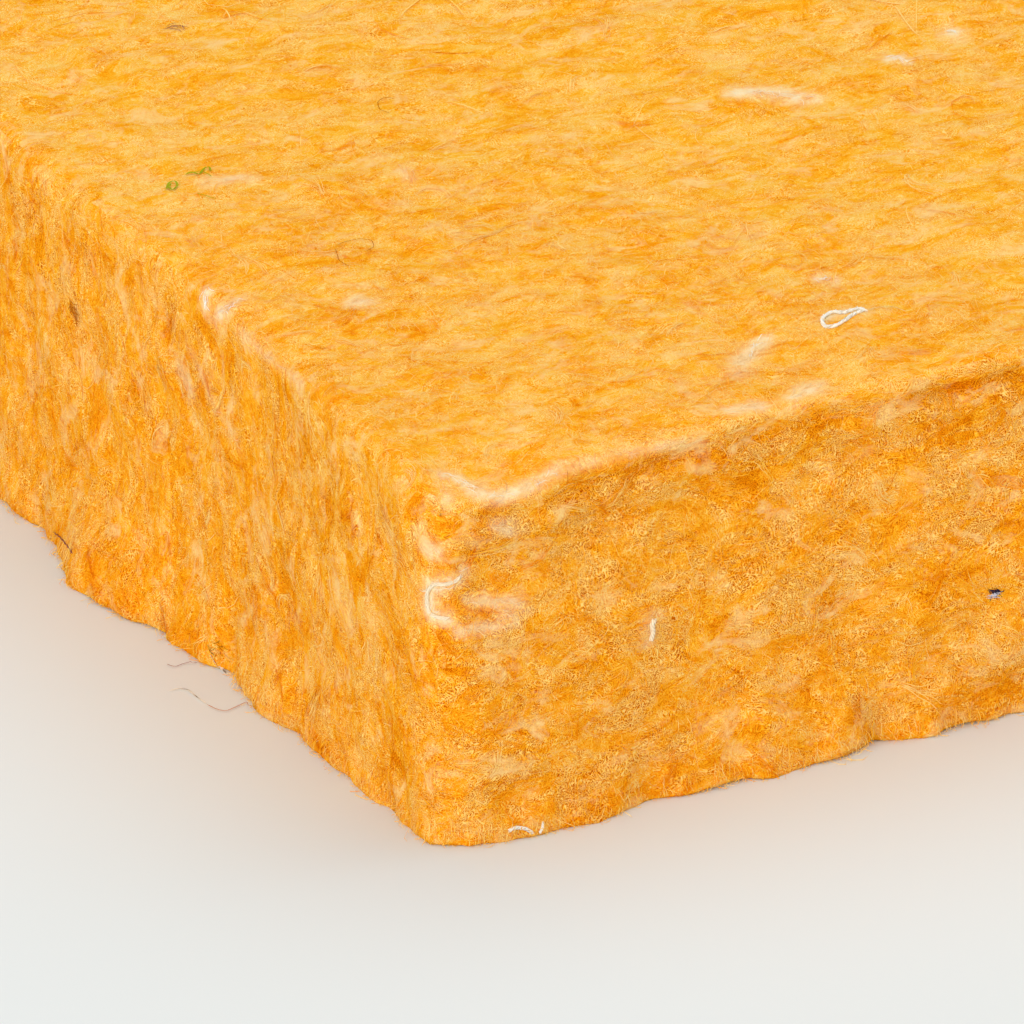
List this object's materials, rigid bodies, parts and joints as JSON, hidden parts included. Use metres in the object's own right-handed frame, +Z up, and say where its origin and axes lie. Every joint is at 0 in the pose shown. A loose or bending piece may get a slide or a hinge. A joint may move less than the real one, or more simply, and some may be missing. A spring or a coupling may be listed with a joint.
{
  "type": "insulation batt",
  "caption": "Flat slab of bonded orange textile fibre, laid between studs or joists as thermal and acoustic insulation.",
  "frame": {"origin": "middle of the underside, on the surface that the batt lies on", "axes": "+X along the length, +Y across the width, +Z up through the thickness"},
  "size_m": [1.2, 0.6, 0.1],
  "materials": {
    "fibre": "matte"
  },
  "bodies": {
    "root": {"fibre_batt": "fibre"}
  },
  "joints": []
}
